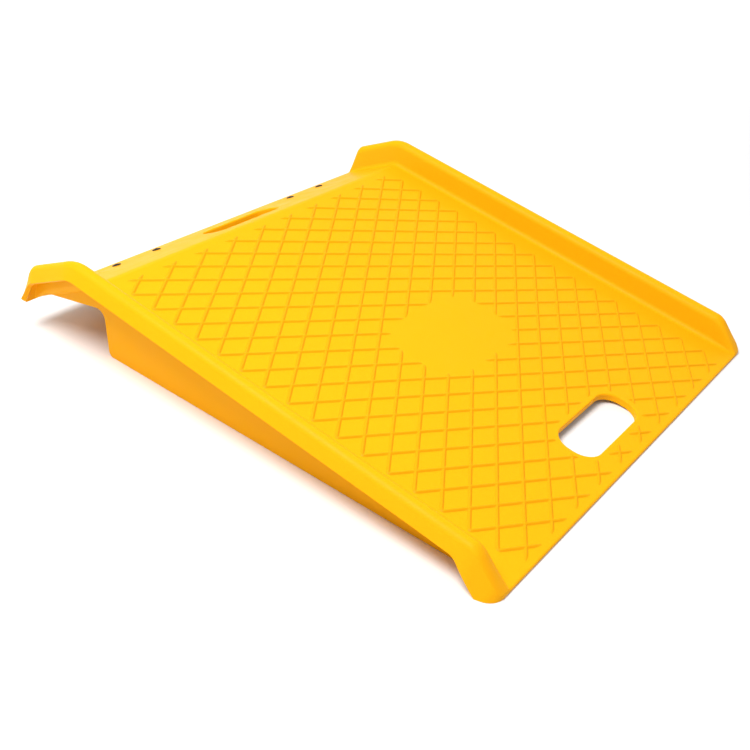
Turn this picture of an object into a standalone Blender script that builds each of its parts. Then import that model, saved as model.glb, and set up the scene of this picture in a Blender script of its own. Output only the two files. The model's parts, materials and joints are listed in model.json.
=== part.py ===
"""Portable curb ramp: a ribbed plastic moulding with side rails and a sloping lip, and two bolted pads.

Metres, +Z up. +X runs across the ramp, +Y runs from the toe towards the curb, and the origin lies on the
ground under the middle of the ramp.
"""
import math

import bmesh
import bpy
from mathutils import Matrix, Vector

# ---- Driving dimensions ----
DECK_PITCH = math.radians(7.4)
LIP_PITCH = math.radians(-26.6)
DECK_LENGTH = 0.6038       # toe edge to crest, along the slope
LIP_LENGTH = 0.0990        # crest to rear edge, along the slope
CREST_RADIUS = 0.0180
TOE_HEIGHT = 0.0037        # top of the toe edge above the ground
WALL = 0.0055
GAP = 0.0003               # clearance between touching pieces
TRIM = 0.0005              # what the ground plane trims off the walls that stand on it

RAIL_INNER = 0.3166        # foot of the rail's inner wall
RAIL_DRAFT = 0.0015        # how far the inner wall leans out on its way up
RAIL_HEIGHT = 0.0364       # rail's crown above the deck
RAIL_RADIUS = 0.0100       # crown
RAIL_FLANK = 25            # degrees above level at which the crown runs into the outer flank
FOOT_RADIUS = 0.0080       # fillet from deck to rail
FOLD_HEIGHT = 0.0183       # rail's outer fold above the deck
TOE_RAMP = 0.0410          # length over which a rail rises at the toe
FOLD_START = 0.0197        # where the outer fold leaves the ground, from the toe
FOLD_RAMP = 0.0394         # length over which it rises
FOLD_SINK = 0.0075         # how far it lies below the deck before that
FOLD_SPREAD = 0.40         # outward move per unit of that sinking
REAR_RAMP = 0.0280         # length over which a rail falls at the lip's end
RAMP_SOFTNESS = 0.20       # share of a ramp that rounds off at its top
TOE_CORNER = 0.0140        # corner radii in plan
REAR_CORNER = 0.0030
TOE_STATIONS = (
    0, 0.002, 0.005, 0.008, 0.012, 0.0165, 0.0197, 0.027, 0.033, 0.037, 0.041, 0.045, 0.049, 0.055, 0.061)
REAR_STATIONS = (0, 0.001, 0.003, 0.010, 0.0224, 0.0252, 0.028, 0.0308, 0.0336)

SKIRT_TOP = 0.3168         # skirt's outer face, where it meets the deck
SKIRT_DRAFT = math.radians(4.8)
SKIRT_WALL = 0.0050
SKIRT_START = 0.0330
RISER_Y = 0.5665           # riser's rear face at the ground, from the toe
RISER_DRAFT = math.radians(4.0)
LIP_SKIRT_FRONT_Z = 0.0635
LIP_SKIRT_REAR_Z = 0.0408
LIP_SKIRT_SETBACK = 0.0160
SKIRT_CORNER = 0.0080
SKIRT_FILLET = 0.0120

RIB_WALL = 0.0040
RIB_CLEARANCE = 0.0020     # under each rib
RIB_START = 0.0940
LONG_RIBS = (-0.205, -0.080, 0.080, 0.205)
CROSS_RIBS = (0.205, 0.385)

HAND_HOLE = (0.1450, 0.0550)   # across, along the slope
HAND_HOLE_MID = 0.0613         # from the toe edge, along the slope
HAND_HOLE_RADIUS = 0.0250
HAND_COLLAR_DEPTH = 0.0090
LIP_SLOT = (0.1360, 0.0420)
LIP_SLOT_MID = 0.0465          # from the crest, along the slope
LIP_SLOT_RADIUS = 0.0180
COLLAR_WALL = 0.0045
COLLAR_DEPTH = 0.0120

PAD_SIZE = (0.1200, 0.0420, 0.0080)
PAD_CORNER = 0.0080
PAD_MID = (0.1740, 0.0750)     # across, from the crest along the lip
BOLT_SPACING = 0.0700
BOLT_HEAD = (0.0060, 0.0017)   # radius, height
BOLT_SHANK = (0.0030, 0.0134)  # radius, length
WASHER = (0.0070, 0.0012)      # radius, thickness
NUT_ACROSS_FLATS = 0.0100
NUT_HEIGHT = 0.0032
WELL = (0.0090, 0.0056)        # radius and depth of a pad's nut well
HOLE_RADIUS = 0.0033
TURN_STEPS = 24
SHARP_ANGLE = math.radians(32)

YELLOW = (0.93, 0.50, 0.02)
BLACK_RUBBER = (0.02, 0.02, 0.02)
BLACK_STEEL = (0.03, 0.03, 0.035)
ZINC = (0.55, 0.56, 0.58)


SIDE_VIEW = Matrix(((0, 0, 1, 0), (1, 0, 0, 0), (0, 1, 0, 0), (0, 0, 0, 1)))   # drawings in the yz plane


# ---- Side profile of the deck's top surface ----
def side_vector(pitch, along, above):
    """World vector for a step along and above a surface of the given pitch."""
    return Vector((
        0.0,
        along * math.cos(pitch) - above * math.sin(pitch),
        along * math.sin(pitch) + above * math.cos(pitch),
    ))


TURN = DECK_PITCH - LIP_PITCH
CREST_CUT = CREST_RADIUS * math.tan(TURN / 2)
CREST_Y = DECK_LENGTH * math.cos(DECK_PITCH)
TOTAL_LENGTH = CREST_Y + LIP_LENGTH * math.cos(LIP_PITCH)
TOE = Vector((0.0, -TOTAL_LENGTH / 2, TOE_HEIGHT))
CREST = TOE + side_vector(DECK_PITCH, DECK_LENGTH, 0.0)
ARC_START = DECK_LENGTH - CREST_CUT
ARC_END = ARC_START + CREST_RADIUS * TURN
PATH_LENGTH = ARC_END + LIP_LENGTH - CREST_CUT


def station(s):
    """Point and pitch of the top surface at a distance s from the toe edge."""
    if s <= ARC_START:
        return TOE + side_vector(DECK_PITCH, s, 0.0), DECK_PITCH
    if s >= ARC_END:
        along = s - ARC_END + CREST_CUT
        return CREST + side_vector(LIP_PITCH, along, 0.0), LIP_PITCH
    pitch = DECK_PITCH - (s - ARC_START) / CREST_RADIUS
    hub = TOE + side_vector(DECK_PITCH, ARC_START, -CREST_RADIUS)
    return hub + side_vector(pitch, 0.0, CREST_RADIUS), pitch


def soft_ramp(t):
    """0 to 1 as t goes from 0 to 1, rounded where it levels out."""
    k = RAMP_SOFTNESS
    if t >= 1 + k:
        return 1.0
    if t > 1 - k:
        return 1 - (1 + k - t) ** 2 / (4 * k)
    return max(t, 0.0)


def rail_rise(s):
    """Height of a rail at a distance along the path, as a share of its full height."""
    return min(soft_ramp(s / TOE_RAMP), soft_ramp((PATH_LENGTH - s) / REAR_RAMP))


def fold_drop(s):
    """How far the outer fold hangs below its place in the section as it runs down to the ground."""
    full = FOLD_HEIGHT + FOLD_SINK
    height = full * soft_ramp((s - FOLD_START) / FOLD_RAMP) - FOLD_SINK
    return max(FOLD_HEIGHT * rail_rise(s) - height, 0.0)


def corner_inset(distance, radius):
    """How far a rounded corner draws in the side, at a distance from the ramp's end."""
    short = max(radius - distance, 0.0)
    return radius - math.sqrt(radius ** 2 - short ** 2)


def stations():
    """Distances along the path at which the shell has a section."""
    arc_steps = 8
    arc = [ARC_START + (ARC_END - ARC_START) * i / arc_steps for i in range(arc_steps + 1)]
    return [*TOE_STATIONS, *arc, *(PATH_LENGTH - s for s in reversed(REAR_STATIONS))]


# ---- Rail section ----
def arc_points(centre, radius, start, end, steps):
    angles = [math.radians(start + (end - start) * i / steps) for i in range(steps + 1)]
    return [(centre[0] + radius * math.cos(a), centre[1] + radius * math.sin(a)) for a in angles]


def half_section():
    """Pairs of points on the top and under face, from the centre line to the rail's outer fold."""
    foot_mid = (RAIL_INNER - FOOT_RADIUS, FOOT_RADIUS)
    crown_mid = (RAIL_INNER + RAIL_DRAFT + RAIL_RADIUS, RAIL_HEIGHT - RAIL_RADIUS)
    top = arc_points(foot_mid, FOOT_RADIUS, -90, 0, 4)
    top += arc_points(crown_mid, RAIL_RADIUS, 180, RAIL_FLANK, 6)
    under = arc_points(foot_mid, FOOT_RADIUS + WALL, -90, 0, 4)
    under += arc_points(crown_mid, RAIL_RADIUS - WALL, 180, RAIL_FLANK, 6)
    flank = math.radians(RAIL_FLANK)
    reach = (top[-1][1] - FOLD_HEIGHT) / math.cos(flank)
    step = (reach * math.sin(flank), -reach * math.cos(flank))
    for side in (top, under):
        side.append((side[-1][0] + step[0], side[-1][1] + step[1]))
    return [((0.0, 0.0), (0.0, -WALL))] + list(zip(top, under))


SECTION = half_section()
HALF_WIDTH = SECTION[-1][0][0]


def shell_row(s, row, depth):
    """Section points of one face of the shell, sunk to the deck's level where the rails run out."""
    base, pitch = station(s)
    rise = rail_rise(s)
    inset = corner_inset(s, TOE_CORNER) + corner_inset(PATH_LENGTH - s, REAR_CORNER)
    heights = [above * rise - depth * (1 - rise) for across, above in row]
    rail_width = HALF_WIDTH - RAIL_INNER
    sides = [across - inset * max(across - RAIL_INNER, 0) / rail_width for across, above in row]
    heights[-1] -= fold_drop(s)
    sides[-1] += fold_drop(s) * FOLD_SPREAD
    return [base + side_vector(pitch, 0.0, h) + Vector((x, 0, 0)) for x, h in zip(sides, heights)]


# ---- Scene helpers ----
def clear_scene():
    for item in list(bpy.data.objects):
        bpy.data.objects.remove(item, do_unlink=True)
    for group in list(bpy.data.collections):
        bpy.data.collections.remove(group)


def make_collection(name):
    group = bpy.data.collections.new(name)
    bpy.context.scene.collection.children.link(group)
    return group


def make_material(name, colour, roughness, metallic):
    material = bpy.data.materials.new(name)
    material.use_nodes = True
    shader = material.node_tree.nodes["Principled BSDF"]
    shader.inputs["Base Color"].default_value = (*colour, 1.0)
    shader.inputs["Roughness"].default_value = roughness
    shader.inputs["Metallic"].default_value = metallic
    return material


def add_object(name, mesh, group, material=None):
    item = bpy.data.objects.new(name, mesh)
    group.objects.link(item)
    if material:
        mesh.materials.append(material)
    return item


def finish_mesh(name, bm):
    bmesh.ops.recalc_face_normals(bm, faces=bm.faces)
    mesh = bpy.data.meshes.new(name)
    bm.to_mesh(mesh)
    bm.free()
    return mesh


def add_guide(name, mesh, group):
    """Object that only serves a Boolean."""
    item = add_object(name, mesh, group)
    item.hide_render = True
    item.display_type = "WIRE"
    return item


def shade_smooth(mesh):
    mesh.shade_smooth()
    mesh.set_sharp_from_angle(angle=SHARP_ANGLE)


def flat_mesh(name, outline, thickness, frame):
    """Fill a closed 2-D outline and thicken it to both sides of the frame's xy plane."""
    curve = bpy.data.curves.new(name, "CURVE")
    curve.dimensions = "2D"
    curve.fill_mode = "BOTH"
    curve.extrude = thickness / 2
    spline = curve.splines.new("POLY")
    spline.points.add(len(outline) - 1)
    for point, (x, y) in zip(spline.points, outline):
        point.co = (x, y, 0.0, 1.0)
    spline.use_cyclic_u = True
    drawing = bpy.data.objects.new(name, curve)
    bm = bmesh.new()
    bm.from_mesh(bpy.data.meshes.new_from_object(drawing))
    bpy.data.objects.remove(drawing)
    bmesh.ops.remove_doubles(bm, verts=bm.verts, dist=0.00001)
    bmesh.ops.transform(bm, matrix=frame, verts=bm.verts)
    return finish_mesh(name, bm)


def cube_mesh(name, frame):
    bm = bmesh.new()
    bmesh.ops.create_cube(bm, size=1.0, matrix=frame)
    return finish_mesh(name, bm)


def rounded_rectangle(width, depth, radius, steps=5):
    """Corner-rounded outline about the origin, counter-clockwise."""
    points = []
    for turn, (sx, sy) in enumerate(((1, 1), (-1, 1), (-1, -1), (1, -1))):
        centre = (sx * (width / 2 - radius), sy * (depth / 2 - radius))
        points += arc_points(centre, radius, 90 * turn, 90 * turn + 90, steps)
    return points


def surface_matrix(s, across=0.0):
    """Frame on the top surface: x across, y along the path, z out of the surface."""
    base, pitch = station(s)
    return Matrix.Translation(base + Vector((across, 0, 0))) @ Matrix.Rotation(pitch, 4, "X")


def add_rounded_block(name, frame, size, radius, top, bottom, group):
    """Rounded block between two heights over a surface frame."""
    middle = frame @ Matrix.Translation((0, 0, (top + bottom) / 2))
    mesh = flat_mesh(name, rounded_rectangle(*size, radius), top - bottom, middle)
    return add_guide(name, mesh, group)


def cylinder_mesh(name, radius, height, frame, segments=24):
    """Upright cylinder from z = 0 to its height, in the given frame."""
    bm = bmesh.new()
    bmesh.ops.create_cone(
        bm, cap_ends=True, segments=segments, radius1=radius, radius2=radius, depth=height,
        matrix=frame @ Matrix.Translation((0, 0, height / 2)),
    )
    return finish_mesh(name, bm)


def add_hole(name, frame, start, group, radius=HOLE_RADIUS, depth=0.04):
    """Round cutter along a frame's z axis, from a start height up."""
    mesh = cylinder_mesh(name, radius, depth, frame @ Matrix.Translation((0, 0, start)))
    return add_guide(name, mesh, group)


def boolean(item, operation, group=None, cutter=None):
    step = item.modifiers.new(operation.title(), "BOOLEAN")
    step.operation = operation
    step.solver = "EXACT"
    if group:
        step.operand_type = "COLLECTION"
        step.collection = group
    else:
        step.object = cutter


# ---- Moulding ----
def strip(bm, low, high):
    """Faces between two rows of as many vertices."""
    for a, b, c, d in zip(low, low[1:], high[1:], high):
        bm.faces.new((a, b, c, d))


def shell_mesh():
    """Right half of the deck, rails and lip, lofted along the path and open at the centre line."""
    bm = bmesh.new()
    tops = []
    unders = []
    top_row, under_row = zip(*SECTION)
    for s in stations():
        tops.append([bm.verts.new(point) for point in shell_row(s, top_row, 0.0)])
        unders.append([bm.verts.new(point) for point in shell_row(s, under_row, WALL)])
    for i in range(len(tops) - 1):
        strip(bm, tops[i], tops[i + 1])
        strip(bm, unders[i + 1], unders[i])
        strip(bm, [tops[i][-1], unders[i][-1]], [tops[i + 1][-1], unders[i + 1][-1]])
    strip(bm, unders[0], tops[0])
    strip(bm, tops[-1], unders[-1])
    mesh = bpy.data.meshes.new("moulding")
    bm.to_mesh(mesh)
    bm.free()
    shade_smooth(mesh)
    return mesh


def shell_middle(s):
    """Point in the middle of the shell's wall, on the centre line."""
    base, pitch = station(s)
    return base + side_vector(pitch, 0.0, -WALL / 2)


def round_corner(before, corner, after, radius, steps=4):
    """Points of an arc that rounds a corner between two neighbours."""
    a = (before - corner).normalized()
    b = (after - corner).normalized()
    half = a.angle(b) / 2
    centre = corner + (a + b).normalized() * radius / math.sin(half)
    start = corner + a * radius / math.tan(half) - centre
    end = corner + b * radius / math.tan(half) - centre
    turn = end.angle_signed(start)
    return [centre + Matrix.Rotation(turn * i / steps, 2) @ start for i in range(steps + 1)]


def skirt_outline():
    """Side view (y, z) of a skirt: ground line, riser, lip skirt, then back down inside the shell."""
    rear_end = shell_middle(PATH_LENGTH - LIP_SKIRT_SETBACK)
    front = Vector((TOE.y + SKIRT_START, -TRIM))
    heel = Vector((TOE.y + RISER_Y, -TRIM))
    riser_top = Vector((heel.x + LIP_SKIRT_FRONT_Z * math.tan(RISER_DRAFT), LIP_SKIRT_FRONT_Z))
    tail = Vector((rear_end.y, LIP_SKIRT_REAR_Z))
    arc_steps = 4
    path = [PATH_LENGTH - LIP_SKIRT_SETBACK]
    path += [ARC_END - (ARC_END - ARC_START) * i / arc_steps for i in range(arc_steps + 1)]
    path += [SKIRT_START]
    points = [front]
    points += round_corner(front, heel, riser_top, SKIRT_CORNER)
    points += round_corner(heel, riser_top, tail, SKIRT_FILLET)
    points += [tail]
    return points + [shell_middle(s).yz for s in path]


def deck_height(y):
    """Height of the deck's top plane, carried on past the crest."""
    return TOE.z + (y - TOE.y) * math.tan(DECK_PITCH)


def skirt_side(y, z):
    """Distance from the centre line to a skirt's outer face: it leans in as it goes down from the deck."""
    return SKIRT_TOP - (deck_height(y) - z) * math.tan(SKIRT_DRAFT)


def add_skirt(side, group):
    mesh = flat_mesh("skirt", skirt_outline(), SKIRT_WALL, SIDE_VIEW)
    for vertex in mesh.vertices:
        vertex.co.x += skirt_side(vertex.co.y, vertex.co.z) - SKIRT_WALL / 2
        vertex.co.x *= side
    if side < 0:
        mesh.flip_normals()
    add_guide("skirt", mesh, group)


def add_cross_wall(name, rear, lean, wall, bottom, top, group):
    """Wall across the ramp that ends inside both skirts."""
    mesh = cube_mesh(name, Matrix.Identity(4))
    for vertex in mesh.vertices:
        side, back, up = vertex.co
        z = top if up > 0 else bottom
        y = rear + z * math.tan(lean) - (wall if back < 0 else 0)
        vertex.co = (math.copysign(skirt_side(y, z) - SKIRT_WALL / 2, side), y, z)
    add_guide(name, mesh, group)


def add_long_rib(x, group):
    """Rib along the ramp that ends inside the riser."""
    start = TOE.y + RIB_START
    end = TOE.y + RISER_Y - WALL / 2
    top_end = end + deck_height(end) * math.tan(RISER_DRAFT)
    tops = [(y, deck_height(y) - WALL / 2) for y in (top_end, start)]
    outline = [(start, RIB_CLEARANCE), (end, RIB_CLEARANCE), *tops]
    mesh = flat_mesh("long_rib", outline, RIB_WALL, Matrix.Translation((x, 0, 0)) @ SIDE_VIEW)
    add_guide("long_rib", mesh, group)


def bolt_frames():
    """Frames on the lip's top surface, one for each bolt, from left to right."""
    s = ARC_END - CREST_CUT + PAD_MID[1]
    offsets = [side * PAD_MID[0] + step * BOLT_SPACING / 2 for side in (-1, 1) for step in (-1, 1)]
    return [surface_matrix(s, x) for x in offsets]


def add_moulding(parts, joined, cutters, material):
    body = add_object("ramp_moulding", shell_mesh(), parts, material)
    mirror = body.modifiers.new("Both halves", "MIRROR")
    mirror.merge_threshold = 0.0001

    for side in (-1, 1):
        add_skirt(side, joined)
    riser_top = shell_middle(RISER_Y).z
    add_cross_wall("riser", TOE.y + RISER_Y, RISER_DRAFT, WALL, -TRIM, riser_top, joined)
    for x in LONG_RIBS:
        add_long_rib(x, joined)
    for rear in CROSS_RIBS:
        y = TOE.y + rear
        add_cross_wall("cross_rib", y, 0.0, RIB_WALL, RIB_CLEARANCE, deck_height(y) - WALL / 2, joined)

    toe_frame = surface_matrix(HAND_HOLE_MID)
    lip_frame = surface_matrix(ARC_END - CREST_CUT + LIP_SLOT_MID)
    collar = [size + 2 * COLLAR_WALL for size in LIP_SLOT]
    collar_radius = LIP_SLOT_RADIUS + COLLAR_WALL
    add_rounded_block("lip_collar", lip_frame, collar, collar_radius, -WALL / 2, -COLLAR_DEPTH, joined)
    collar = [size + 2 * COLLAR_WALL for size in HAND_HOLE]
    collar_radius = HAND_HOLE_RADIUS + COLLAR_WALL
    add_rounded_block("hand_collar", toe_frame, collar, collar_radius, -WALL / 2, -HAND_COLLAR_DEPTH, joined)
    add_rounded_block("hand_hole", toe_frame, HAND_HOLE, HAND_HOLE_RADIUS, 0.03, -0.04, cutters)
    add_rounded_block("lip_slot", lip_frame, LIP_SLOT, LIP_SLOT_RADIUS, 0.03, -0.04, cutters)
    for frame in bolt_frames():
        add_hole("bolt_hole", frame, -0.02, cutters)
    ground = Matrix.Translation((0, 0, -0.1)) @ Matrix.Diagonal((1.0, 1.0, 0.2, 1.0))
    add_guide("ground", cube_mesh("ground", ground), cutters)

    boolean(body, "UNION", group=joined)
    boolean(body, "DIFFERENCE", group=cutters)


# ---- Pads and fixings ----
def add_pad(name, side, parts, cutters, material):
    frame = surface_matrix(ARC_END - CREST_CUT + PAD_MID[1], side * PAD_MID[0])
    width, depth, thickness = PAD_SIZE
    top = -WALL - GAP
    middle = frame @ Matrix.Translation((0, 0, top - thickness / 2))
    mesh = flat_mesh(name, rounded_rectangle(width, depth, PAD_CORNER), thickness, middle)
    pad = add_object(name, mesh, parts, material)
    for step in (-1, 1):
        bolt = frame @ Matrix.Translation((step * BOLT_SPACING / 2, 0, 0))
        well = add_hole("well", bolt, top - thickness - 0.01, cutters, WELL[0], WELL[1] + 0.01)
        boolean(pad, "DIFFERENCE", cutter=well)
        boolean(pad, "DIFFERENCE", cutter=add_hole("pad_hole", bolt, -0.03, cutters))


def turned(name, profile, frame, parts, material, closed=False):
    """Screw a half profile of (radius, height) points about the frame's z axis."""
    mesh = bpy.data.meshes.new(name)
    count = len(profile)
    edges = [(i, (i + 1) % count) for i in range(count if closed else count - 1)]
    mesh.from_pydata([(r, 0, z) for r, z in profile], edges, [])
    item = add_object(name, mesh, parts, material)
    item.matrix_world = frame
    screw = item.modifiers.new("Turn", "SCREW")
    screw.steps = TURN_STEPS
    screw.render_steps = TURN_STEPS
    screw.use_merge_vertices = True
    screw.merge_threshold = 0.00001
    screw.use_smooth_shade = True


def add_bolt(number, frame, parts, material):
    """Button head on the lip, shank down through the lip, pad, washer and nut."""
    head_radius, head_height = BOLT_HEAD
    shank_radius, shank_length = BOLT_SHANK
    dome = [
        (head_radius * math.sin(a), GAP + head_height * (0.4 + 0.6 * math.cos(a)))
        for a in (math.radians(15 * i) for i in range(7))
    ]
    neck = [(head_radius, GAP), (shank_radius, GAP)]
    tip = [(shank_radius, -shank_length), (0, -shank_length)]
    turned(f"bolt_{number}", dome + neck + tip, frame, parts, material)


def add_washer(number, frame, parts, material):
    top = -WALL - GAP - PAD_SIZE[2] + WELL[1] - GAP
    inner = BOLT_SHANK[0] + GAP
    outer, thickness = WASHER
    profile = [(inner, top), (outer, top), (outer, top - thickness), (inner, top - thickness)]
    turned(f"washer_{number}", profile, frame, parts, material, closed=True)


def add_nut(number, frame, parts, cutters, material):
    """Hexagon nut under the washer, inside the pad's well."""
    top = -WALL - GAP - PAD_SIZE[2] + WELL[1] - GAP - WASHER[1] - GAP
    radius = NUT_ACROSS_FLATS / math.sqrt(3)
    name = f"nut_{number}"
    mesh = cylinder_mesh(name, radius, NUT_HEIGHT, Matrix.Translation((0, 0, top - NUT_HEIGHT)), 6)
    nut = add_object(name, mesh, parts, material)
    nut.matrix_world = frame
    boolean(nut, "DIFFERENCE", cutter=add_hole("nut_bore", frame, -0.03, cutters))


def main():
    clear_scene()
    parts = make_collection("ramp_leveler")
    joined = make_collection("joined")
    cutters = make_collection("moulding_cutters")
    small_cutters = make_collection("small_cutters")

    yellow = make_material("yellow_plastic", YELLOW, 0.45, 0.0)
    rubber = make_material("black_rubber", BLACK_RUBBER, 0.8, 0.0)
    steel = make_material("black_steel", BLACK_STEEL, 0.4, 1.0)
    zinc = make_material("zinc_steel", ZINC, 0.35, 1.0)

    add_moulding(parts, joined, cutters, yellow)
    for side, name in ((-1, "lip_pad_left"), (1, "lip_pad_right")):
        add_pad(name, side, parts, small_cutters, rubber)
    for number, frame in enumerate(bolt_frames(), start=1):
        add_bolt(number, frame, parts, steel)
        add_washer(number, frame, parts, zinc)
        add_nut(number, frame, parts, small_cutters, zinc)


main()
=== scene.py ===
"""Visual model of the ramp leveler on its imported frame.

A fine moulding with rounded edges replaces the plain one, a raised diamond tread lies on its deck, and
detailed bolts and pads replace the plain ones. Metres, in the frame's own axes: +X across, +Y up the ramp.
"""

import json
import math

import bmesh
import bpy
from mathutils import Matrix, Vector

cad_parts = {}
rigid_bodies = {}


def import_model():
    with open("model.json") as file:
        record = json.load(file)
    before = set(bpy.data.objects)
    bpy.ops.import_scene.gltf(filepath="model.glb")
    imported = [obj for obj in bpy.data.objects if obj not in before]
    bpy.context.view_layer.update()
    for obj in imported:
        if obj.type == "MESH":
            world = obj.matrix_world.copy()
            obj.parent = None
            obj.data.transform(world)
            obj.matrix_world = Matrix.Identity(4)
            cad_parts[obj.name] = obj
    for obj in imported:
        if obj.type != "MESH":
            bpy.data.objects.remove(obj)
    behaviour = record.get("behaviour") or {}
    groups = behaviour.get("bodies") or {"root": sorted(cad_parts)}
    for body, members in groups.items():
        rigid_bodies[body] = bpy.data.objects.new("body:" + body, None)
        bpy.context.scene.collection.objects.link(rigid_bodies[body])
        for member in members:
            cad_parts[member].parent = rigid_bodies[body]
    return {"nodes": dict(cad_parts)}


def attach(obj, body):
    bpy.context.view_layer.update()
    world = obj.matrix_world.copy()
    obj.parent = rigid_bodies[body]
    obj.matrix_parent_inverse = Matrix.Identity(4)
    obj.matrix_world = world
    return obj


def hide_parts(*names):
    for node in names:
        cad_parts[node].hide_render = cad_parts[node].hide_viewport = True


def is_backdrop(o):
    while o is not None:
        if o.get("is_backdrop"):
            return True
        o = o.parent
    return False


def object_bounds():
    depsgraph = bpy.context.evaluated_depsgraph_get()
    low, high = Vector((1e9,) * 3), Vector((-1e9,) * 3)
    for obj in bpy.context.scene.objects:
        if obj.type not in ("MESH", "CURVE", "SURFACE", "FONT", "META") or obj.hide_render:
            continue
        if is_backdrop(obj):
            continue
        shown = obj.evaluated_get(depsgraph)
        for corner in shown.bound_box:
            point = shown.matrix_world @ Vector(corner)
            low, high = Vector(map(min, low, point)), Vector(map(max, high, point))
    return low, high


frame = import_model()
CAD_LOW, CAD_HIGH = (Vector(corner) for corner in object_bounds())

# ---- Dimensions shared with the frame ----
DECK_PITCH = math.radians(7.4)
LIP_PITCH = math.radians(-26.6)
DECK_LENGTH = 0.6038
LIP_LENGTH = 0.0990
CREST_RADIUS = 0.0180
TOE_HEIGHT = 0.0037
WALL = 0.0055
GAP = 0.0003
TRIM = 0.0005

RAIL_INNER = 0.3166
RAIL_DRAFT = 0.0015
RAIL_HEIGHT = 0.0364
RAIL_RADIUS = 0.0100
RAIL_FLANK = 25
FOOT_RADIUS = 0.0080
FOLD_HEIGHT = 0.0183
TOE_RAMP = 0.0410
FOLD_START = 0.0197
FOLD_RAMP = 0.0394
FOLD_SINK = 0.0075
FOLD_SPREAD = 0.40
REAR_RAMP = 0.0280
RAMP_SOFTNESS = 0.20
TOE_CORNER = 0.0140
REAR_CORNER = 0.0030

SKIRT_TOP = 0.3168
SKIRT_DRAFT = math.radians(4.8)
SKIRT_WALL = 0.0050
SKIRT_START = 0.0330
RISER_Y = 0.5665
RISER_DRAFT = math.radians(4.0)
LIP_SKIRT_FRONT_Z = 0.0635
LIP_SKIRT_REAR_Z = 0.0408
LIP_SKIRT_SETBACK = 0.0160
SKIRT_CORNER = 0.0080
SKIRT_FILLET = 0.0120

RIB_WALL = 0.0040
RIB_CLEARANCE = 0.0020
RIB_START = 0.0940
LONG_RIBS = (-0.205, -0.080, 0.080, 0.205)
CROSS_RIBS = (0.205, 0.385)

HAND_HOLE = (0.1450, 0.0550)
HAND_HOLE_MID = 0.0613
HAND_HOLE_RADIUS = 0.0250
HAND_COLLAR_DEPTH = 0.0090
LIP_SLOT = (0.1360, 0.0420)
LIP_SLOT_MID = 0.0465
LIP_SLOT_RADIUS = 0.0180
COLLAR_WALL = 0.0045
COLLAR_DEPTH = 0.0120

PAD_SIZE = (0.1200, 0.0420, 0.0080)
PAD_CORNER = 0.0080
PAD_MID = (0.1740, 0.0750)
BOLT_SPACING = 0.0700
BOLT_HEAD = (0.0060, 0.0017)
BOLT_SHANK = (0.0030, 0.0134)
WELL = (0.0090, 0.0056)
HOLE_RADIUS = 0.0033

# ---- Visual detail ----
EDGE_ROUND = 0.0020        # rounding of the toe edge, the rear edge and the holes' rims
TREAD_WIDTH = 0.0564       # one diamond, across and along the deck
TREAD_LENGTH = 0.0352
TREAD_PHASE = 0.03666      # a row of diamond corners, from the toe edge
BEAD_HALF_WIDTH = 0.0030
BEAD_HEIGHT = 0.0016
BEAD_SINK = 0.0004         # how far a bead's feet lie under the deck
TREAD_SIDE = 0.2835        # where the tread stops, from the centre line
TREAD_ENDS = (0.0085, 0.5900)
TREAD_FADE = 0.0040        # length over which a bead rises out of the deck
TREAD_CLEARANCE = 0.0060   # plain band round the hand hole
PATCH_MID = 0.2790         # plain oval in the middle of the tread
PATCH_SIZE = (0.0860, 0.0560)
PATCH_RADIUS = 0.0400
PATCH_FADE = 0.0080

CUT_ABOVE = 0.0300         # how far a hole's cutter reaches over and under the surface
CUT_BELOW = 0.0400
BOLT_CUT = 0.0400          # length of the cutter for a bolt's hole
PAD_CUT_START = -0.0300    # where that cutter starts in a pad, from the lip's top surface
OVERCUT = 0.0100

BOLT_SEGMENTS = 48
CROWN_EDGE = 0.0003        # upright edge of a bolt head, under its dome
HEAD_CHAMFER = 0.0002
SHANK_CHAMFER = (0.0005, 0.0006)
SOCKET_LAND = 0.0024       # flat ring round the hexagon socket
SOCKET_SIZE = (0.0038, 0.0036)
SOCKET_FLOOR = 0.0008
PAD_ROUND = 0.0012
GROOVE_COUNT = 7
GROOVE_PITCH = 0.0052
GROOVE_SIZE = (0.0380, 0.0013)

CAMERA_PLACE = (-1.0554, -0.6051, 0.7095)
CAMERA_TURN = (57.26, -7.54, -53.80)
CAMERA_LENS = 51.09

SIDE_VIEW = Matrix(((0, 0, 1, 0), (1, 0, 0, 0), (0, 1, 0, 0), (0, 0, 0, 1)))


# ---- Side profile of the deck's top surface ----
def side_vector(pitch, along, above):
    """World vector for a step along and above a surface of the given pitch."""
    return Vector((
        0.0,
        along * math.cos(pitch) - above * math.sin(pitch),
        along * math.sin(pitch) + above * math.cos(pitch),
    ))


TURN = DECK_PITCH - LIP_PITCH
CREST_CUT = CREST_RADIUS * math.tan(TURN / 2)
TOE = Vector((0.0, CAD_LOW.y, TOE_HEIGHT))
CREST = TOE + side_vector(DECK_PITCH, DECK_LENGTH, 0.0)
ARC_START = DECK_LENGTH - CREST_CUT
ARC_END = ARC_START + CREST_RADIUS * TURN
PATH_LENGTH = ARC_END + LIP_LENGTH - CREST_CUT


def station(s):
    """Point and pitch of the top surface at a distance s from the toe edge."""
    if s <= ARC_START:
        return TOE + side_vector(DECK_PITCH, s, 0.0), DECK_PITCH
    if s >= ARC_END:
        along = s - ARC_END + CREST_CUT
        return CREST + side_vector(LIP_PITCH, along, 0.0), LIP_PITCH
    pitch = DECK_PITCH - (s - ARC_START) / CREST_RADIUS
    hub = TOE + side_vector(DECK_PITCH, ARC_START, -CREST_RADIUS)
    return hub + side_vector(pitch, 0.0, CREST_RADIUS), pitch


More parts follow.
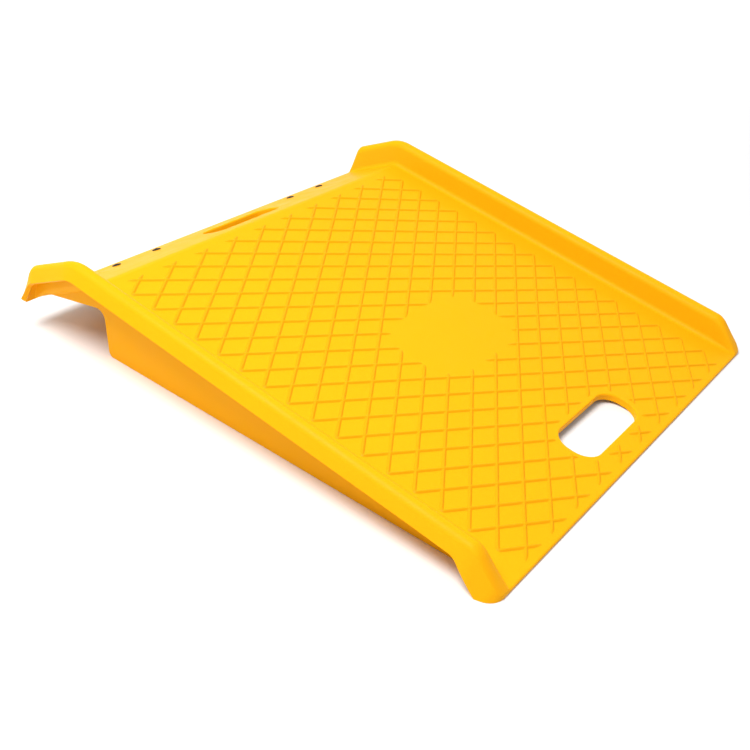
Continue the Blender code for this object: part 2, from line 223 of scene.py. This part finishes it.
def soft_ramp(t):
    """0 to 1 as t goes from 0 to 1, rounded where it levels out."""
    k = RAMP_SOFTNESS
    if t >= 1 + k:
        return 1.0
    if t > 1 - k:
        return 1 - (1 + k - t) ** 2 / (4 * k)
    return max(t, 0.0)


def smooth_step(t):
    t = min(max(t, 0.0), 1.0)
    return t * t * (3 - 2 * t)


def rail_rise(s):
    """Height of a rail at a distance along the path, as a share of its full height."""
    return min(soft_ramp(s / TOE_RAMP), soft_ramp((PATH_LENGTH - s) / REAR_RAMP))


def fold_drop(s):
    """How far the outer fold hangs below its place in the section as it runs down to the ground."""
    full = FOLD_HEIGHT + FOLD_SINK
    height = full * soft_ramp((s - FOLD_START) / FOLD_RAMP) - FOLD_SINK
    return max(FOLD_HEIGHT * rail_rise(s) - height, 0.0)


def quarter_inset(distance, radius):
    """How far a rounded corner draws a side in, at a distance from the end."""
    short = max(radius - distance, 0.0)
    return radius - math.sqrt(radius ** 2 - short ** 2)


def stations():
    """Distances along the path at which the moulding has a section."""
    edge = [EDGE_ROUND * (1 - math.cos(math.radians(22.5 * i))) for i in range(5)]
    toe = [0.003, 0.0045, 0.0065, 0.009, 0.0115, 0.014, 0.017, 0.0197, 0.024, 0.028, 0.031]
    toe += [0.033 + 0.0016 * i for i in range(19)]
    middle = [0.0625 + (ARC_START - 0.0625) * i / 12 for i in range(1, 12)]
    arc = [ARC_START + (ARC_END - ARC_START) * i / 14 for i in range(15)]
    rear = [0.0336 - 0.0011 * i for i in range(11)] + [0.018, 0.012, 0.007, 0.0035]
    ends = [PATH_LENGTH - s for s in rear + list(reversed(edge))]
    return edge + toe + middle + arc + ends


# ---- Rail section ----
def arc_points(centre, radius, start, end, steps):
    angles = [math.radians(start + (end - start) * i / steps) for i in range(steps + 1)]
    return [(centre[0] + radius * math.cos(a), centre[1] + radius * math.sin(a)) for a in angles]


def half_section():
    """Pairs of points on the top and under face, from the centre line to the rail's outer fold."""
    foot_mid = (RAIL_INNER - FOOT_RADIUS, FOOT_RADIUS)
    crown_mid = (RAIL_INNER + RAIL_DRAFT + RAIL_RADIUS, RAIL_HEIGHT - RAIL_RADIUS)
    top = arc_points(foot_mid, FOOT_RADIUS, -90, 0, 10)
    top += arc_points(crown_mid, RAIL_RADIUS, 180, RAIL_FLANK, 16)
    under = arc_points(foot_mid, FOOT_RADIUS + WALL, -90, 0, 10)
    under += arc_points(crown_mid, RAIL_RADIUS - WALL, 180, RAIL_FLANK, 16)
    flank = math.radians(RAIL_FLANK)
    reach = (top[-1][1] - FOLD_HEIGHT) / math.cos(flank)
    step = (reach * math.sin(flank), -reach * math.cos(flank))
    for side in (top, under):
        side.append((side[-1][0] + step[0], side[-1][1] + step[1]))
    return [((0.0, 0.0), (0.0, -WALL))] + list(zip(top, under))


SECTION = half_section()
HALF_WIDTH = SECTION[-1][0][0]


def shell_row(s, row, depth):
    """Section points of one face of the shell, sunk to the deck's level where the rails run out."""
    base, pitch = station(s)
    rise = rail_rise(s)
    inset = quarter_inset(s, TOE_CORNER) + quarter_inset(PATH_LENGTH - s, REAR_CORNER)
    edge = quarter_inset(min(s, PATH_LENGTH - s), EDGE_ROUND) if depth == 0 else 0.0
    rail_width = HALF_WIDTH - RAIL_INNER
    heights = [above * rise - depth * (1 - rise) - edge for across, above in row]
    sides = [across - inset * max(across - RAIL_INNER, 0) / rail_width for across, above in row]
    heights[-1] -= fold_drop(s)
    sides[-1] += fold_drop(s) * FOLD_SPREAD
    return [base + side_vector(pitch, 0.0, h) + Vector((x, 0, 0)) for x, h in zip(sides, heights)]


# ---- Scene helpers ----
def add_object(name, mesh, group=None):
    item = bpy.data.objects.new(name, mesh)
    (group or bpy.context.scene.collection).objects.link(item)
    return item


def finish_mesh(name, bm):
    bmesh.ops.recalc_face_normals(bm, faces=bm.faces)
    mesh = bpy.data.meshes.new(name)
    bm.to_mesh(mesh)
    bm.free()
    return mesh


def flat_mesh(name, outline, thickness, place):
    """Fill a closed 2-D outline and thicken it to both sides of the place's xy plane."""
    curve = bpy.data.curves.new(name, "CURVE")
    curve.dimensions = "2D"
    curve.fill_mode = "BOTH"
    curve.extrude = thickness / 2
    spline = curve.splines.new("POLY")
    spline.points.add(len(outline) - 1)
    for point, (x, y) in zip(spline.points, outline):
        point.co = (x, y, 0.0, 1.0)
    spline.use_cyclic_u = True
    drawing = bpy.data.objects.new(name, curve)
    bm = bmesh.new()
    bm.from_mesh(bpy.data.meshes.new_from_object(drawing))
    bpy.data.objects.remove(drawing)
    bmesh.ops.remove_doubles(bm, verts=bm.verts, dist=0.00001)
    bmesh.ops.transform(bm, matrix=place, verts=bm.verts)
    return finish_mesh(name, bm)


def rounded_rectangle(width, depth, radius, steps=12):
    """Corner-rounded outline about the origin, counter-clockwise."""
    points = []
    for turn, (sx, sy) in enumerate(((1, 1), (-1, 1), (-1, -1), (1, -1))):
        centre = (sx * (width / 2 - radius), sy * (depth / 2 - radius))
        points += arc_points(centre, radius, 90 * turn, 90 * turn + 90, steps)
    return points


def surface_matrix(s, across=0.0):
    """Frame on the top surface: x across, y along the path, z out of the surface."""
    base, pitch = station(s)
    return Matrix.Translation(base + Vector((across, 0, 0))) @ Matrix.Rotation(pitch, 4, "X")


def lofted(name, rings, place):
    """Closed solid through equal rings of points, each ring one turn round."""
    bm = bmesh.new()
    rows = [[bm.verts.new(point) for point in ring] for ring in rings]
    for low, high in zip(rows, rows[1:]):
        for a, b, c, d in zip(low, low[1:] + low[:1], high[1:] + high[:1], high):
            bm.faces.new((a, b, c, d))
    bm.faces.new(rows[0])
    bm.faces.new(rows[-1])
    bmesh.ops.transform(bm, matrix=place, verts=bm.verts)
    return finish_mesh(name, bm)


def flared_cutter(name, place, size, radius, group):
    """Hole cutter whose mouth opens in a quarter round, so that the rim is rounded."""
    rings = [[(x, y, -CUT_BELOW) for x, y in rounded_rectangle(*size, radius)]]
    for i in range(7):
        angle = math.radians(15 * i)
        out = EDGE_ROUND * (1 - math.cos(angle))
        height = EDGE_ROUND * (math.sin(angle) - 1)
        grown = [edge + 2 * out for edge in size]
        rings.append([(x, y, height) for x, y in rounded_rectangle(*grown, radius + out)])
    rings.append([(x, y, CUT_ABOVE) for x, y, _ in rings[-1]])
    return add_object(name, lofted(name, rings, place), group)


def cylinder_mesh(name, radius, height, place, segments=32):
    bm = bmesh.new()
    bmesh.ops.create_cone(
        bm, cap_ends=True, segments=segments, radius1=radius, radius2=radius, depth=height,
        matrix=place @ Matrix.Translation((0, 0, height / 2)),
    )
    return finish_mesh(name, bm)


def boolean(item, operation, group):
    """Join or cut an object with everything in a collection."""
    step = item.modifiers.new(operation.title(), "BOOLEAN")
    step.operation = operation
    step.solver = "EXACT"
    step.operand_type = "COLLECTION"
    step.collection = group


def applied(item, sharp_angle):
    """Replace an object's mesh by its evaluated one, shaded smooth but for its sharp edges."""
    graph = bpy.context.evaluated_depsgraph_get()
    graph.update()
    mesh = bpy.data.meshes.new_from_object(item.evaluated_get(graph))
    item.modifiers.clear()
    item.data = mesh
    mesh.shade_smooth()
    mesh.set_sharp_from_angle(angle=math.radians(sharp_angle))
    return item


def discard(group):
    for item in list(group.objects):
        bpy.data.objects.remove(item, do_unlink=True)
    bpy.data.collections.remove(group)


def working_group(name):
    group = bpy.data.collections.new(name)
    bpy.context.scene.collection.children.link(group)
    return group


# ---- Moulding ----
def strip(bm, low, high):
    """Faces between two rows of as many vertices."""
    for a, b, c, d in zip(low, low[1:], high[1:], high):
        bm.faces.new((a, b, c, d))


def shell_mesh():
    """Right half of the deck, rails and lip, lofted along the path and open at the centre line."""
    bm = bmesh.new()
    tops = []
    unders = []
    top_row, under_row = zip(*SECTION)
    for s in stations():
        tops.append([bm.verts.new(point) for point in shell_row(s, top_row, 0.0)])
        unders.append([bm.verts.new(point) for point in shell_row(s, under_row, WALL)])
    for i in range(len(tops) - 1):
        strip(bm, tops[i], tops[i + 1])
        strip(bm, unders[i + 1], unders[i])
        strip(bm, [tops[i][-1], unders[i][-1]], [tops[i + 1][-1], unders[i + 1][-1]])
    strip(bm, unders[0], tops[0])
    strip(bm, tops[-1], unders[-1])
    mesh = bpy.data.meshes.new("moulding")
    bm.to_mesh(mesh)
    bm.free()
    return mesh


def shell_middle(s):
    """Point in the middle of the shell's wall, on the centre line."""
    base, pitch = station(s)
    return base + side_vector(pitch, 0.0, -WALL / 2)


def round_corner(before, corner, after, radius, steps=10):
    """Points of an arc that rounds a corner between two neighbours."""
    a = (before - corner).normalized()
    b = (after - corner).normalized()
    half = a.angle(b) / 2
    centre = corner + (a + b).normalized() * radius / math.sin(half)
    start = corner + a * radius / math.tan(half) - centre
    end = corner + b * radius / math.tan(half) - centre
    turn = end.angle_signed(start)
    return [centre + Matrix.Rotation(turn * i / steps, 2) @ start for i in range(steps + 1)]


def skirt_outline():
    """Side view (y, z) of a skirt: ground line, riser, lip skirt, then back down inside the shell."""
    rear_end = shell_middle(PATH_LENGTH - LIP_SKIRT_SETBACK)
    front = Vector((TOE.y + SKIRT_START, -TRIM))
    heel = Vector((TOE.y + RISER_Y, -TRIM))
    riser_top = Vector((heel.x + LIP_SKIRT_FRONT_Z * math.tan(RISER_DRAFT), LIP_SKIRT_FRONT_Z))
    tail = Vector((rear_end.y, LIP_SKIRT_REAR_Z))
    arc_steps = 4
    path = [PATH_LENGTH - LIP_SKIRT_SETBACK]
    path += [ARC_END - (ARC_END - ARC_START) * i / arc_steps for i in range(arc_steps + 1)]
    path += [SKIRT_START]
    points = [front]
    points += round_corner(front, heel, riser_top, SKIRT_CORNER)
    points += round_corner(heel, riser_top, tail, SKIRT_FILLET)
    points += [tail]
    return points + [shell_middle(s).yz for s in path]


def deck_height(y):
    """Height of the deck's top plane, carried on past the crest."""
    return TOE.z + (y - TOE.y) * math.tan(DECK_PITCH)


def skirt_side(y, z):
    """Distance from the centre line to a skirt's outer face: it leans in as it goes down from the deck."""
    return SKIRT_TOP - (deck_height(y) - z) * math.tan(SKIRT_DRAFT)


def add_skirt(side, group):
    mesh = flat_mesh("skirt", skirt_outline(), SKIRT_WALL, SIDE_VIEW)
    for vertex in mesh.vertices:
        vertex.co.x += skirt_side(vertex.co.y, vertex.co.z) - SKIRT_WALL / 2
        vertex.co.x *= side
    if side < 0:
        mesh.flip_normals()
    add_object("skirt", mesh, group)


def add_cross_wall(name, rear, lean, wall, bottom, top, group):
    """Wall across the ramp that ends inside both skirts."""
    bm = bmesh.new()
    bmesh.ops.create_cube(bm, size=1.0)
    for vertex in bm.verts:
        side, back, up = vertex.co
        z = top if up > 0 else bottom
        y = rear + z * math.tan(lean) - (wall if back < 0 else 0)
        vertex.co = (math.copysign(skirt_side(y, z) - SKIRT_WALL / 2, side), y, z)
    add_object(name, finish_mesh(name, bm), group)


def add_long_rib(x, group):
    """Rib along the ramp that ends inside the riser."""
    start = TOE.y + RIB_START
    end = TOE.y + RISER_Y - WALL / 2
    top_end = end + deck_height(end) * math.tan(RISER_DRAFT)
    tops = [(y, deck_height(y) - WALL / 2) for y in (top_end, start)]
    outline = [(start, RIB_CLEARANCE), (end, RIB_CLEARANCE), *tops]
    mesh = flat_mesh("long_rib", outline, RIB_WALL, Matrix.Translation((x, 0, 0)) @ SIDE_VIEW)
    add_object("long_rib", mesh, group)


def add_collar(name, place, size, radius, depth, group):
    """Raised wall under the shell, round a hole."""
    outer = [edge + 2 * COLLAR_WALL for edge in size]
    middle = place @ Matrix.Translation((0, 0, -(WALL / 2 + depth) / 2))
    outline = rounded_rectangle(*outer, radius + COLLAR_WALL)
    add_object(name, flat_mesh(name, outline, depth - WALL / 2, middle), group)


def bolt_places():
    """Frames on the lip's top surface, one for each bolt, from left to right."""
    s = ARC_END - CREST_CUT + PAD_MID[1]
    offsets = [side * PAD_MID[0] + step * BOLT_SPACING / 2 for side in (-1, 1) for step in (-1, 1)]
    return [surface_matrix(s, x) for x in offsets]


def add_moulding():
    body = add_object("moulding", shell_mesh())
    mirror = body.modifiers.new("Both halves", "MIRROR")
    mirror.merge_threshold = 0.00001

    joined = working_group("joined")
    cutters = working_group("cutters")
    for side in (-1, 1):
        add_skirt(side, joined)
    add_cross_wall("riser", TOE.y + RISER_Y, RISER_DRAFT, WALL, -TRIM, shell_middle(RISER_Y).z, joined)
    for x in LONG_RIBS:
        add_long_rib(x, joined)
    for rear in CROSS_RIBS:
        y = TOE.y + rear
        add_cross_wall("cross_rib", y, 0.0, RIB_WALL, RIB_CLEARANCE, deck_height(y) - WALL / 2, joined)

    lip_place = surface_matrix(ARC_END - CREST_CUT + LIP_SLOT_MID)
    toe_place = surface_matrix(HAND_HOLE_MID)
    add_collar("lip_collar", lip_place, LIP_SLOT, LIP_SLOT_RADIUS, COLLAR_DEPTH, joined)
    add_collar("hand_collar", toe_place, HAND_HOLE, HAND_HOLE_RADIUS, HAND_COLLAR_DEPTH, joined)
    flared_cutter("hand_hole", toe_place, HAND_HOLE, HAND_HOLE_RADIUS, cutters)
    flared_cutter("lip_slot", lip_place, LIP_SLOT, LIP_SLOT_RADIUS, cutters)
    for place in bolt_places():
        low = place @ Matrix.Translation((0, 0, -BOLT_CUT / 2))
        add_object("bolt_hole", cylinder_mesh("bolt_hole", HOLE_RADIUS, BOLT_CUT, low), cutters)
    bm = bmesh.new()
    below = Matrix.Translation((0, 0, -0.1)) @ Matrix.Diagonal((1.0, 1.0, 0.2, 1.0))
    bmesh.ops.create_cube(bm, size=1.0, matrix=below)
    add_object("ground", finish_mesh("ground", bm), cutters)

    boolean(body, "UNION", joined)
    boolean(body, "DIFFERENCE", cutters)
    applied(body, 32)
    discard(joined)
    discard(cutters)
    level = body.modifiers.new("Flat faces stay flat", "WEIGHTED_NORMAL")
    level.keep_sharp = True
    return body


# ---- Tread ----
def outside_rounded(x, y, half_x, half_y, radius):
    """Distance from a rounded rectangle about the origin, negative inside."""
    dx = abs(x) - half_x + radius
    dy = abs(y) - half_y + radius
    return math.hypot(max(dx, 0.0), max(dy, 0.0)) + min(max(dx, dy), 0.0) - radius


def hole_distance(x, s):
    """Distance on the deck from the hand hole's edge."""
    return outside_rounded(x, s - HAND_HOLE_MID, HAND_HOLE[0] / 2, HAND_HOLE[1] / 2, HAND_HOLE_RADIUS)


def tread_share(x, s):
    """Share of the tread's height at a point: none at the borders, the hand hole and the plain oval."""
    side = smooth_step((TREAD_SIDE - abs(x)) / TREAD_FADE)
    front = smooth_step((s - TREAD_ENDS[0]) / TREAD_FADE)
    rear = smooth_step((TREAD_ENDS[1] - s) / TREAD_FADE)
    rim = smooth_step((hole_distance(x, s) - TREAD_CLEARANCE) / TREAD_FADE)
    oval = outside_rounded(x, s - PATCH_MID, *PATCH_SIZE, PATCH_RADIUS)
    return side * front * rear * rim * smooth_step(oval / PATCH_FADE)


def in_net(x, s):
    """Whether a point of the deck lies in the area that the tread's net covers."""
    across = abs(x) < TREAD_SIDE + TREAD_FADE
    along = 0 < s < TREAD_ENDS[1] + TREAD_FADE
    return across and along and hole_distance(x, s) > TREAD_FADE


def add_tread():
    """Two crossing families of beads as one net of narrow strips, its feet just under the deck."""
    spacing = 1 / math.hypot(1 / TREAD_WIDTH, 1 / TREAD_LENGTH)
    edge = BEAD_HALF_WIDTH / spacing
    steps = [edge * share for share in (-1.0, -0.65, -0.3, 0.0, 0.3, 0.65, 1.0)]
    steps += [edge + (1 - 2 * edge) * i / 6 for i in range(1, 6)]
    count = len(steps)
    half_count = math.ceil(TREAD_SIDE / TREAD_WIDTH) + 1
    long_count = math.ceil(DECK_LENGTH / TREAD_LENGTH) + 1

    def bead(t):
        """Share of a bead's height at a place between two lines of the net."""
        off = abs(t - round(t)) / edge
        return (1 - off * off) ** 2 if off < 1 else 0.0

    def plan(ia, ib):
        """Distance across the deck, distance from the toe edge and bead height at a corner of the net."""
        a = ia // count + steps[ia % count]
        b = ib // count + steps[ib % count]
        rise = max(bead(a), bead(b))
        return (a - b) * TREAD_WIDTH / 2, TREAD_PHASE + (a + b) * TREAD_LENGTH / 2, rise

    bm = bmesh.new()
    corners = {}
    span = range(-half_count * count, (half_count + long_count) * count)
    for ia in span:
        for ib in span:
            x, s, rise = plan(ia, ib)
            if in_net(x, s):
                share = rise * tread_share(x, s)
                height = (BEAD_HEIGHT + BEAD_SINK) * share - BEAD_SINK
                point = TOE + side_vector(DECK_PITCH, s, height) + Vector((x, 0, 0))
                corners[ia, ib] = (bm.verts.new(point), share)
    for ia, ib in corners:
        quad = [corners.get(key) for key in ((ia, ib), (ia + 1, ib), (ia + 1, ib + 1), (ia, ib + 1))]
        if all(quad) and max(share for vert, share in quad) > 0.01:
            bm.faces.new([vert for vert, share in quad])
    loose = [v for v in bm.verts if not v.link_faces]
    bmesh.ops.delete(bm, geom=loose, context="VERTS")
    mesh = finish_mesh("deck_tread", bm)
    mesh.shade_smooth()
    item = add_object("deck_tread", mesh)
    if mesh.polygons[0].normal.z < 0:
        mesh.flip_normals()
    return item


# ---- Fixings ----
def ring(radius, height):
    """Points of a circle, one at each of the bolt's segments."""
    last = 360 * (BOLT_SEGMENTS - 1) / BOLT_SEGMENTS
    return [(*point, height) for point in arc_points((0, 0), radius, 0, last, BOLT_SEGMENTS - 1)]


def hexagon_ring(across_flats, height):
    """Points of a hexagon, spread at even angles so that it lofts to a circle."""
    points = []
    for i in range(BOLT_SEGMENTS):
        angle = 2 * math.pi * i / BOLT_SEGMENTS
        local = (angle + math.pi / 6) % (math.pi / 3) - math.pi / 6
        radius = across_flats / 2 / math.cos(local)
        points.append((radius * math.cos(angle), radius * math.sin(angle), height))
    return points


def add_bolt(number, place):
    """Button head with a hexagon socket, and a shank through the lip and pad."""
    head_radius, head_height = BOLT_HEAD
    shank_radius, shank_length = BOLT_SHANK
    chamfer_in, chamfer_up = SHANK_CHAMFER
    crown_foot = GAP + CROWN_EDGE
    crown_height = head_height - CROWN_EDGE
    top = GAP + head_height
    rings = [ring(shank_radius - chamfer_in, -shank_length), ring(shank_radius, -shank_length + chamfer_up)]
    rings += [ring(shank_radius, GAP), ring(head_radius - HEAD_CHAMFER, GAP), ring(head_radius, crown_foot)]
    for degrees in (12, 26, 40, 54, 66):
        angle = math.radians(degrees)
        rings.append(ring(head_radius * math.cos(angle), crown_foot + crown_height * math.sin(angle)))
    rings.append(ring(SOCKET_LAND, top))
    mouth, bottom = SOCKET_SIZE
    rings += [hexagon_ring(mouth, top - HEAD_CHAMFER), hexagon_ring(bottom, GAP + SOCKET_FLOOR)]
    item = add_object(f"bolt_head_{number}", lofted(f"bolt_head_{number}", rings, place))
    item.data.shade_smooth()
    item.data.set_sharp_from_angle(angle=math.radians(38))
    return item


def add_pad(name, side):
    """Rubber pad with rounded edges and shallow grip grooves in its free face."""
    place = surface_matrix(ARC_END - CREST_CUT + PAD_MID[1], side * PAD_MID[0])
    width, depth, thickness = PAD_SIZE
    top = -WALL - GAP
    bottom = top - thickness
    rings = []
    for degrees in (90, 60, 30, 0):
        angle = math.radians(degrees)
        draw_in = PAD_ROUND * (1 - math.cos(angle))
        size = (width - 2 * draw_in, depth - 2 * draw_in)
        outline = rounded_rectangle(*size, PAD_CORNER - draw_in)
        rings.append([(x, y, bottom + PAD_ROUND * (1 - math.sin(angle))) for x, y in outline])
    rings.append([(x, y, top) for x, y, _ in rings[-1]])
    pad = add_object(name, lofted(name, rings, place))
    cutters = working_group("pad_cutters")
    for step in (-1, 1):
        bolt = place @ Matrix.Translation((step * BOLT_SPACING / 2, 0, 0))
        low = bolt @ Matrix.Translation((0, 0, bottom - OVERCUT))
        add_object("well", cylinder_mesh("well", WELL[0], WELL[1] + OVERCUT, low), cutters)
        low = bolt @ Matrix.Translation((0, 0, PAD_CUT_START))
        add_object("pad_hole", cylinder_mesh("pad_hole", HOLE_RADIUS, BOLT_CUT, low), cutters)
    groove_length, groove_width = GROOVE_SIZE
    for i in range(GROOVE_COUNT):
        bm = bmesh.new()
        shift = Matrix.Translation((0, (i - GROOVE_COUNT // 2) * GROOVE_PITCH, bottom))
        across = shift @ Matrix.Rotation(math.radians(45), 4, "X")
        bar = place @ across @ Matrix.Diagonal((groove_length, groove_width, groove_width, 1.0))
        bmesh.ops.create_cube(bm, size=1.0, matrix=bar)
        add_object("groove", finish_mesh("groove", bm), cutters)
    boolean(pad, "DIFFERENCE", cutters)
    applied(pad, 35)
    discard(cutters)
    return pad


# ---- Materials ----
def new_material(name, colour, roughness, metallic=0.0):
    material = bpy.data.materials.new(name)
    material.use_nodes = True
    shader = material.node_tree.nodes["Principled BSDF"]
    shader.inputs["Base Color"].default_value = (*colour, 1.0)
    shader.inputs["Roughness"].default_value = roughness
    shader.inputs["Metallic"].default_value = metallic
    return material, shader


def noise(nodes, links, place, scale, detail, roughness=0.5):
    """Noise in object coordinates."""
    texture = nodes.new("ShaderNodeTexNoise")
    texture.inputs["Scale"].default_value = scale
    texture.inputs["Detail"].default_value = detail
    texture.inputs["Roughness"].default_value = roughness
    links.new(place, texture.inputs["Vector"])
    return texture.outputs["Fac"]


def spread(nodes, links, source, low, high):
    """Map a 0 to 1 value to a range."""
    node = nodes.new("ShaderNodeMapRange")
    node.inputs["From Min"].default_value = 0.3
    node.inputs["From Max"].default_value = 0.7
    node.inputs["To Min"].default_value = low
    node.inputs["To Max"].default_value = high
    links.new(source, node.inputs["Value"])
    return node.outputs["Result"]


def mixed_colour(nodes, links, factor, first, second):
    node = nodes.new("ShaderNodeMix")
    node.data_type = "RGBA"
    links.new(factor, node.inputs["Factor"])
    node.inputs["A"].default_value = (*first, 1.0)
    node.inputs["B"].default_value = (*second, 1.0)
    return node.outputs["Result"]


def add_bump(nodes, links, height, distance, strength, shader):
    node = nodes.new("ShaderNodeBump")
    node.inputs["Distance"].default_value = distance
    node.inputs["Strength"].default_value = strength
    links.new(height, node.inputs["Height"])
    links.new(node.outputs["Normal"], shader.inputs["Normal"])


def moulded_plastic(name, light, dark, grain):
    """Satin polyethylene: cloudy colour, a fine moulded grain and uneven gloss."""
    material, shader = new_material(name, light, 0.42)
    shader.inputs["Specular IOR Level"].default_value = 0.06
    nodes, links = material.node_tree.nodes, material.node_tree.links
    place = nodes.new("ShaderNodeTexCoord").outputs["Object"]
    clouds = noise(nodes, links, place, 6.0, 3.0)
    links.new(mixed_colour(nodes, links, clouds, light, dark), shader.inputs["Base Color"])
    gloss = noise(nodes, links, place, 40.0, 4.0)
    links.new(spread(nodes, links, gloss, 0.38, 0.50), shader.inputs["Roughness"])
    add_bump(nodes, links, noise(nodes, links, place, 420.0, 3.0, 0.6), 0.0006, grain, shader)
    shader.inputs["Subsurface Weight"].default_value = 0.12
    shader.inputs["Subsurface Scale"].default_value = 0.004
    shader.inputs["Subsurface Radius"].default_value = (1.0, 0.45, 0.1)
    return material


def worn_metal(name, light, dark, low, high, metallic):
    material, shader = new_material(name, light, low, metallic)
    nodes, links = material.node_tree.nodes, material.node_tree.links
    place = nodes.new("ShaderNodeTexCoord").outputs["Object"]
    stains = noise(nodes, links, place, 160.0, 4.0)
    links.new(mixed_colour(nodes, links, stains, light, dark), shader.inputs["Base Color"])
    gloss = noise(nodes, links, place, 500.0, 3.0)
    links.new(spread(nodes, links, gloss, low, high), shader.inputs["Roughness"])
    add_bump(nodes, links, noise(nodes, links, place, 2500.0, 2.0), 0.0001, 0.3, shader)
    return material


def rubber_material():
    material, shader = new_material("pad_rubber", (0.02, 0.02, 0.02), 0.7)
    nodes, links = material.node_tree.nodes, material.node_tree.links
    place = nodes.new("ShaderNodeTexCoord").outputs["Object"]
    dust = noise(nodes, links, place, 60.0, 5.0)
    colour = mixed_colour(nodes, links, dust, (0.014, 0.014, 0.014), (0.035, 0.034, 0.032))
    links.new(colour, shader.inputs["Base Color"])
    links.new(spread(nodes, links, dust, 0.62, 0.85), shader.inputs["Roughness"])
    add_bump(nodes, links, noise(nodes, links, place, 900.0, 2.0), 0.0003, 0.4, shader)
    return material


def dress(item, material):
    item.data.materials.clear()
    item.data.materials.append(material)


# ---- Stage ----
def add_stage():
    mesh = cylinder_mesh("floor", 30.0, 0.02, Matrix.Translation((0, 0, CAD_LOW.z - 0.0202)), 96)
    floor = add_object("floor", mesh)
    material, shader = new_material("floor_white", (0.82, 0.82, 0.82), 0.9)
    nodes, links = material.node_tree.nodes, material.node_tree.links
    place = nodes.new("ShaderNodeTexCoord").outputs["Object"]
    tone = noise(nodes, links, place, 1.5, 2.0)
    colour = mixed_colour(nodes, links, tone, (0.83, 0.83, 0.83), (0.81, 0.81, 0.81))
    links.new(colour, shader.inputs["Base Color"])
    dress(floor, material)
    floor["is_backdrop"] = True


def add_light(name, place, aim, size, power):
    light = bpy.data.lights.new(name, "AREA")
    light.shape = "DISK"
    light.size = size
    light.energy = power
    item = add_object(name, light)
    item.location = place
    item.rotation_euler = (Vector(aim) - Vector(place)).to_track_quat("-Z", "Y").to_euler()
    return item


def add_lights():
    world = bpy.data.worlds.new("studio")
    bpy.context.scene.world = world
    world.use_nodes = True
    background = world.node_tree.nodes["Background"]
    background.inputs["Color"].default_value = (1.0, 1.0, 1.0, 1.0)
    background.inputs["Strength"].default_value = 0.48
    add_light("key", (-1.05, 0.35, 2.15), (0, 0, 0.05), 1.3, 63)
    for name, place, aim in (
        ("backdrop_left", (1.9, 3.6, 2.0), (1.8, 3.2, 0)),
        ("backdrop_right", (3.4, 0.9, 2.0), (3.1, 0.8, 0)),
    ):
        add_light(name, place, aim, 2.0, 50).visible_glossy = False
    bpy.context.scene.view_settings.view_transform = "Standard"


def add_camera():
    data = bpy.data.cameras.new("camera")
    data.lens = CAMERA_LENS
    data.sensor_width = 36.0
    data.clip_start = 0.01
    item = add_object("camera", data)
    item.location = CAMERA_PLACE
    item.rotation_euler = [math.radians(angle) for angle in CAMERA_TURN]
    bpy.context.scene.camera = item


def main():
    yellow = moulded_plastic("yellow_polyethylene", (0.940, 0.425, 0.004), (0.930, 0.400, 0.003), 0.14)
    # The tread's beads get a darker copy of the deck's yellow: painted shade that dulls the beads' lit
    # sides and deepens their shaded sides.
    tread_yellow_painted_shade = moulded_plastic("tread_polyethylene_painted_shade", (0.830, 0.365, 0.003), (0.800, 0.340, 0.003), 0.14)
    rubber = rubber_material()
    black = worn_metal("black_oxide_steel", (0.020, 0.020, 0.022), (0.045, 0.042, 0.040), 0.35, 0.50, 0.6)
    zinc = worn_metal("zinc_plate", (0.62, 0.63, 0.65), (0.50, 0.50, 0.48), 0.28, 0.42, 1.0)

    moulding = add_moulding()
    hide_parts("ramp_moulding")
    tread = add_tread()
    for item, material in ((moulding, yellow), (tread, tread_yellow_painted_shade)):
        dress(item, material)
        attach(item, "root")
    for side, name in ((-1, "lip_pad_left"), (1, "lip_pad_right")):
        pad = add_pad("rubber_" + name, side)
        dress(pad, rubber)
        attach(pad, "root")
        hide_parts(name)
    for number, place in enumerate(bolt_places(), start=1):
        bolt = add_bolt(number, place)
        dress(bolt, black)
        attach(bolt, "root")
        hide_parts(f"bolt_{number}")
        for kind in ("washer", "nut"):
            frame["nodes"][f"{kind}_{number}"].material_slots[0].material = zinc

    add_stage()
    add_lights()
    add_camera()


main()
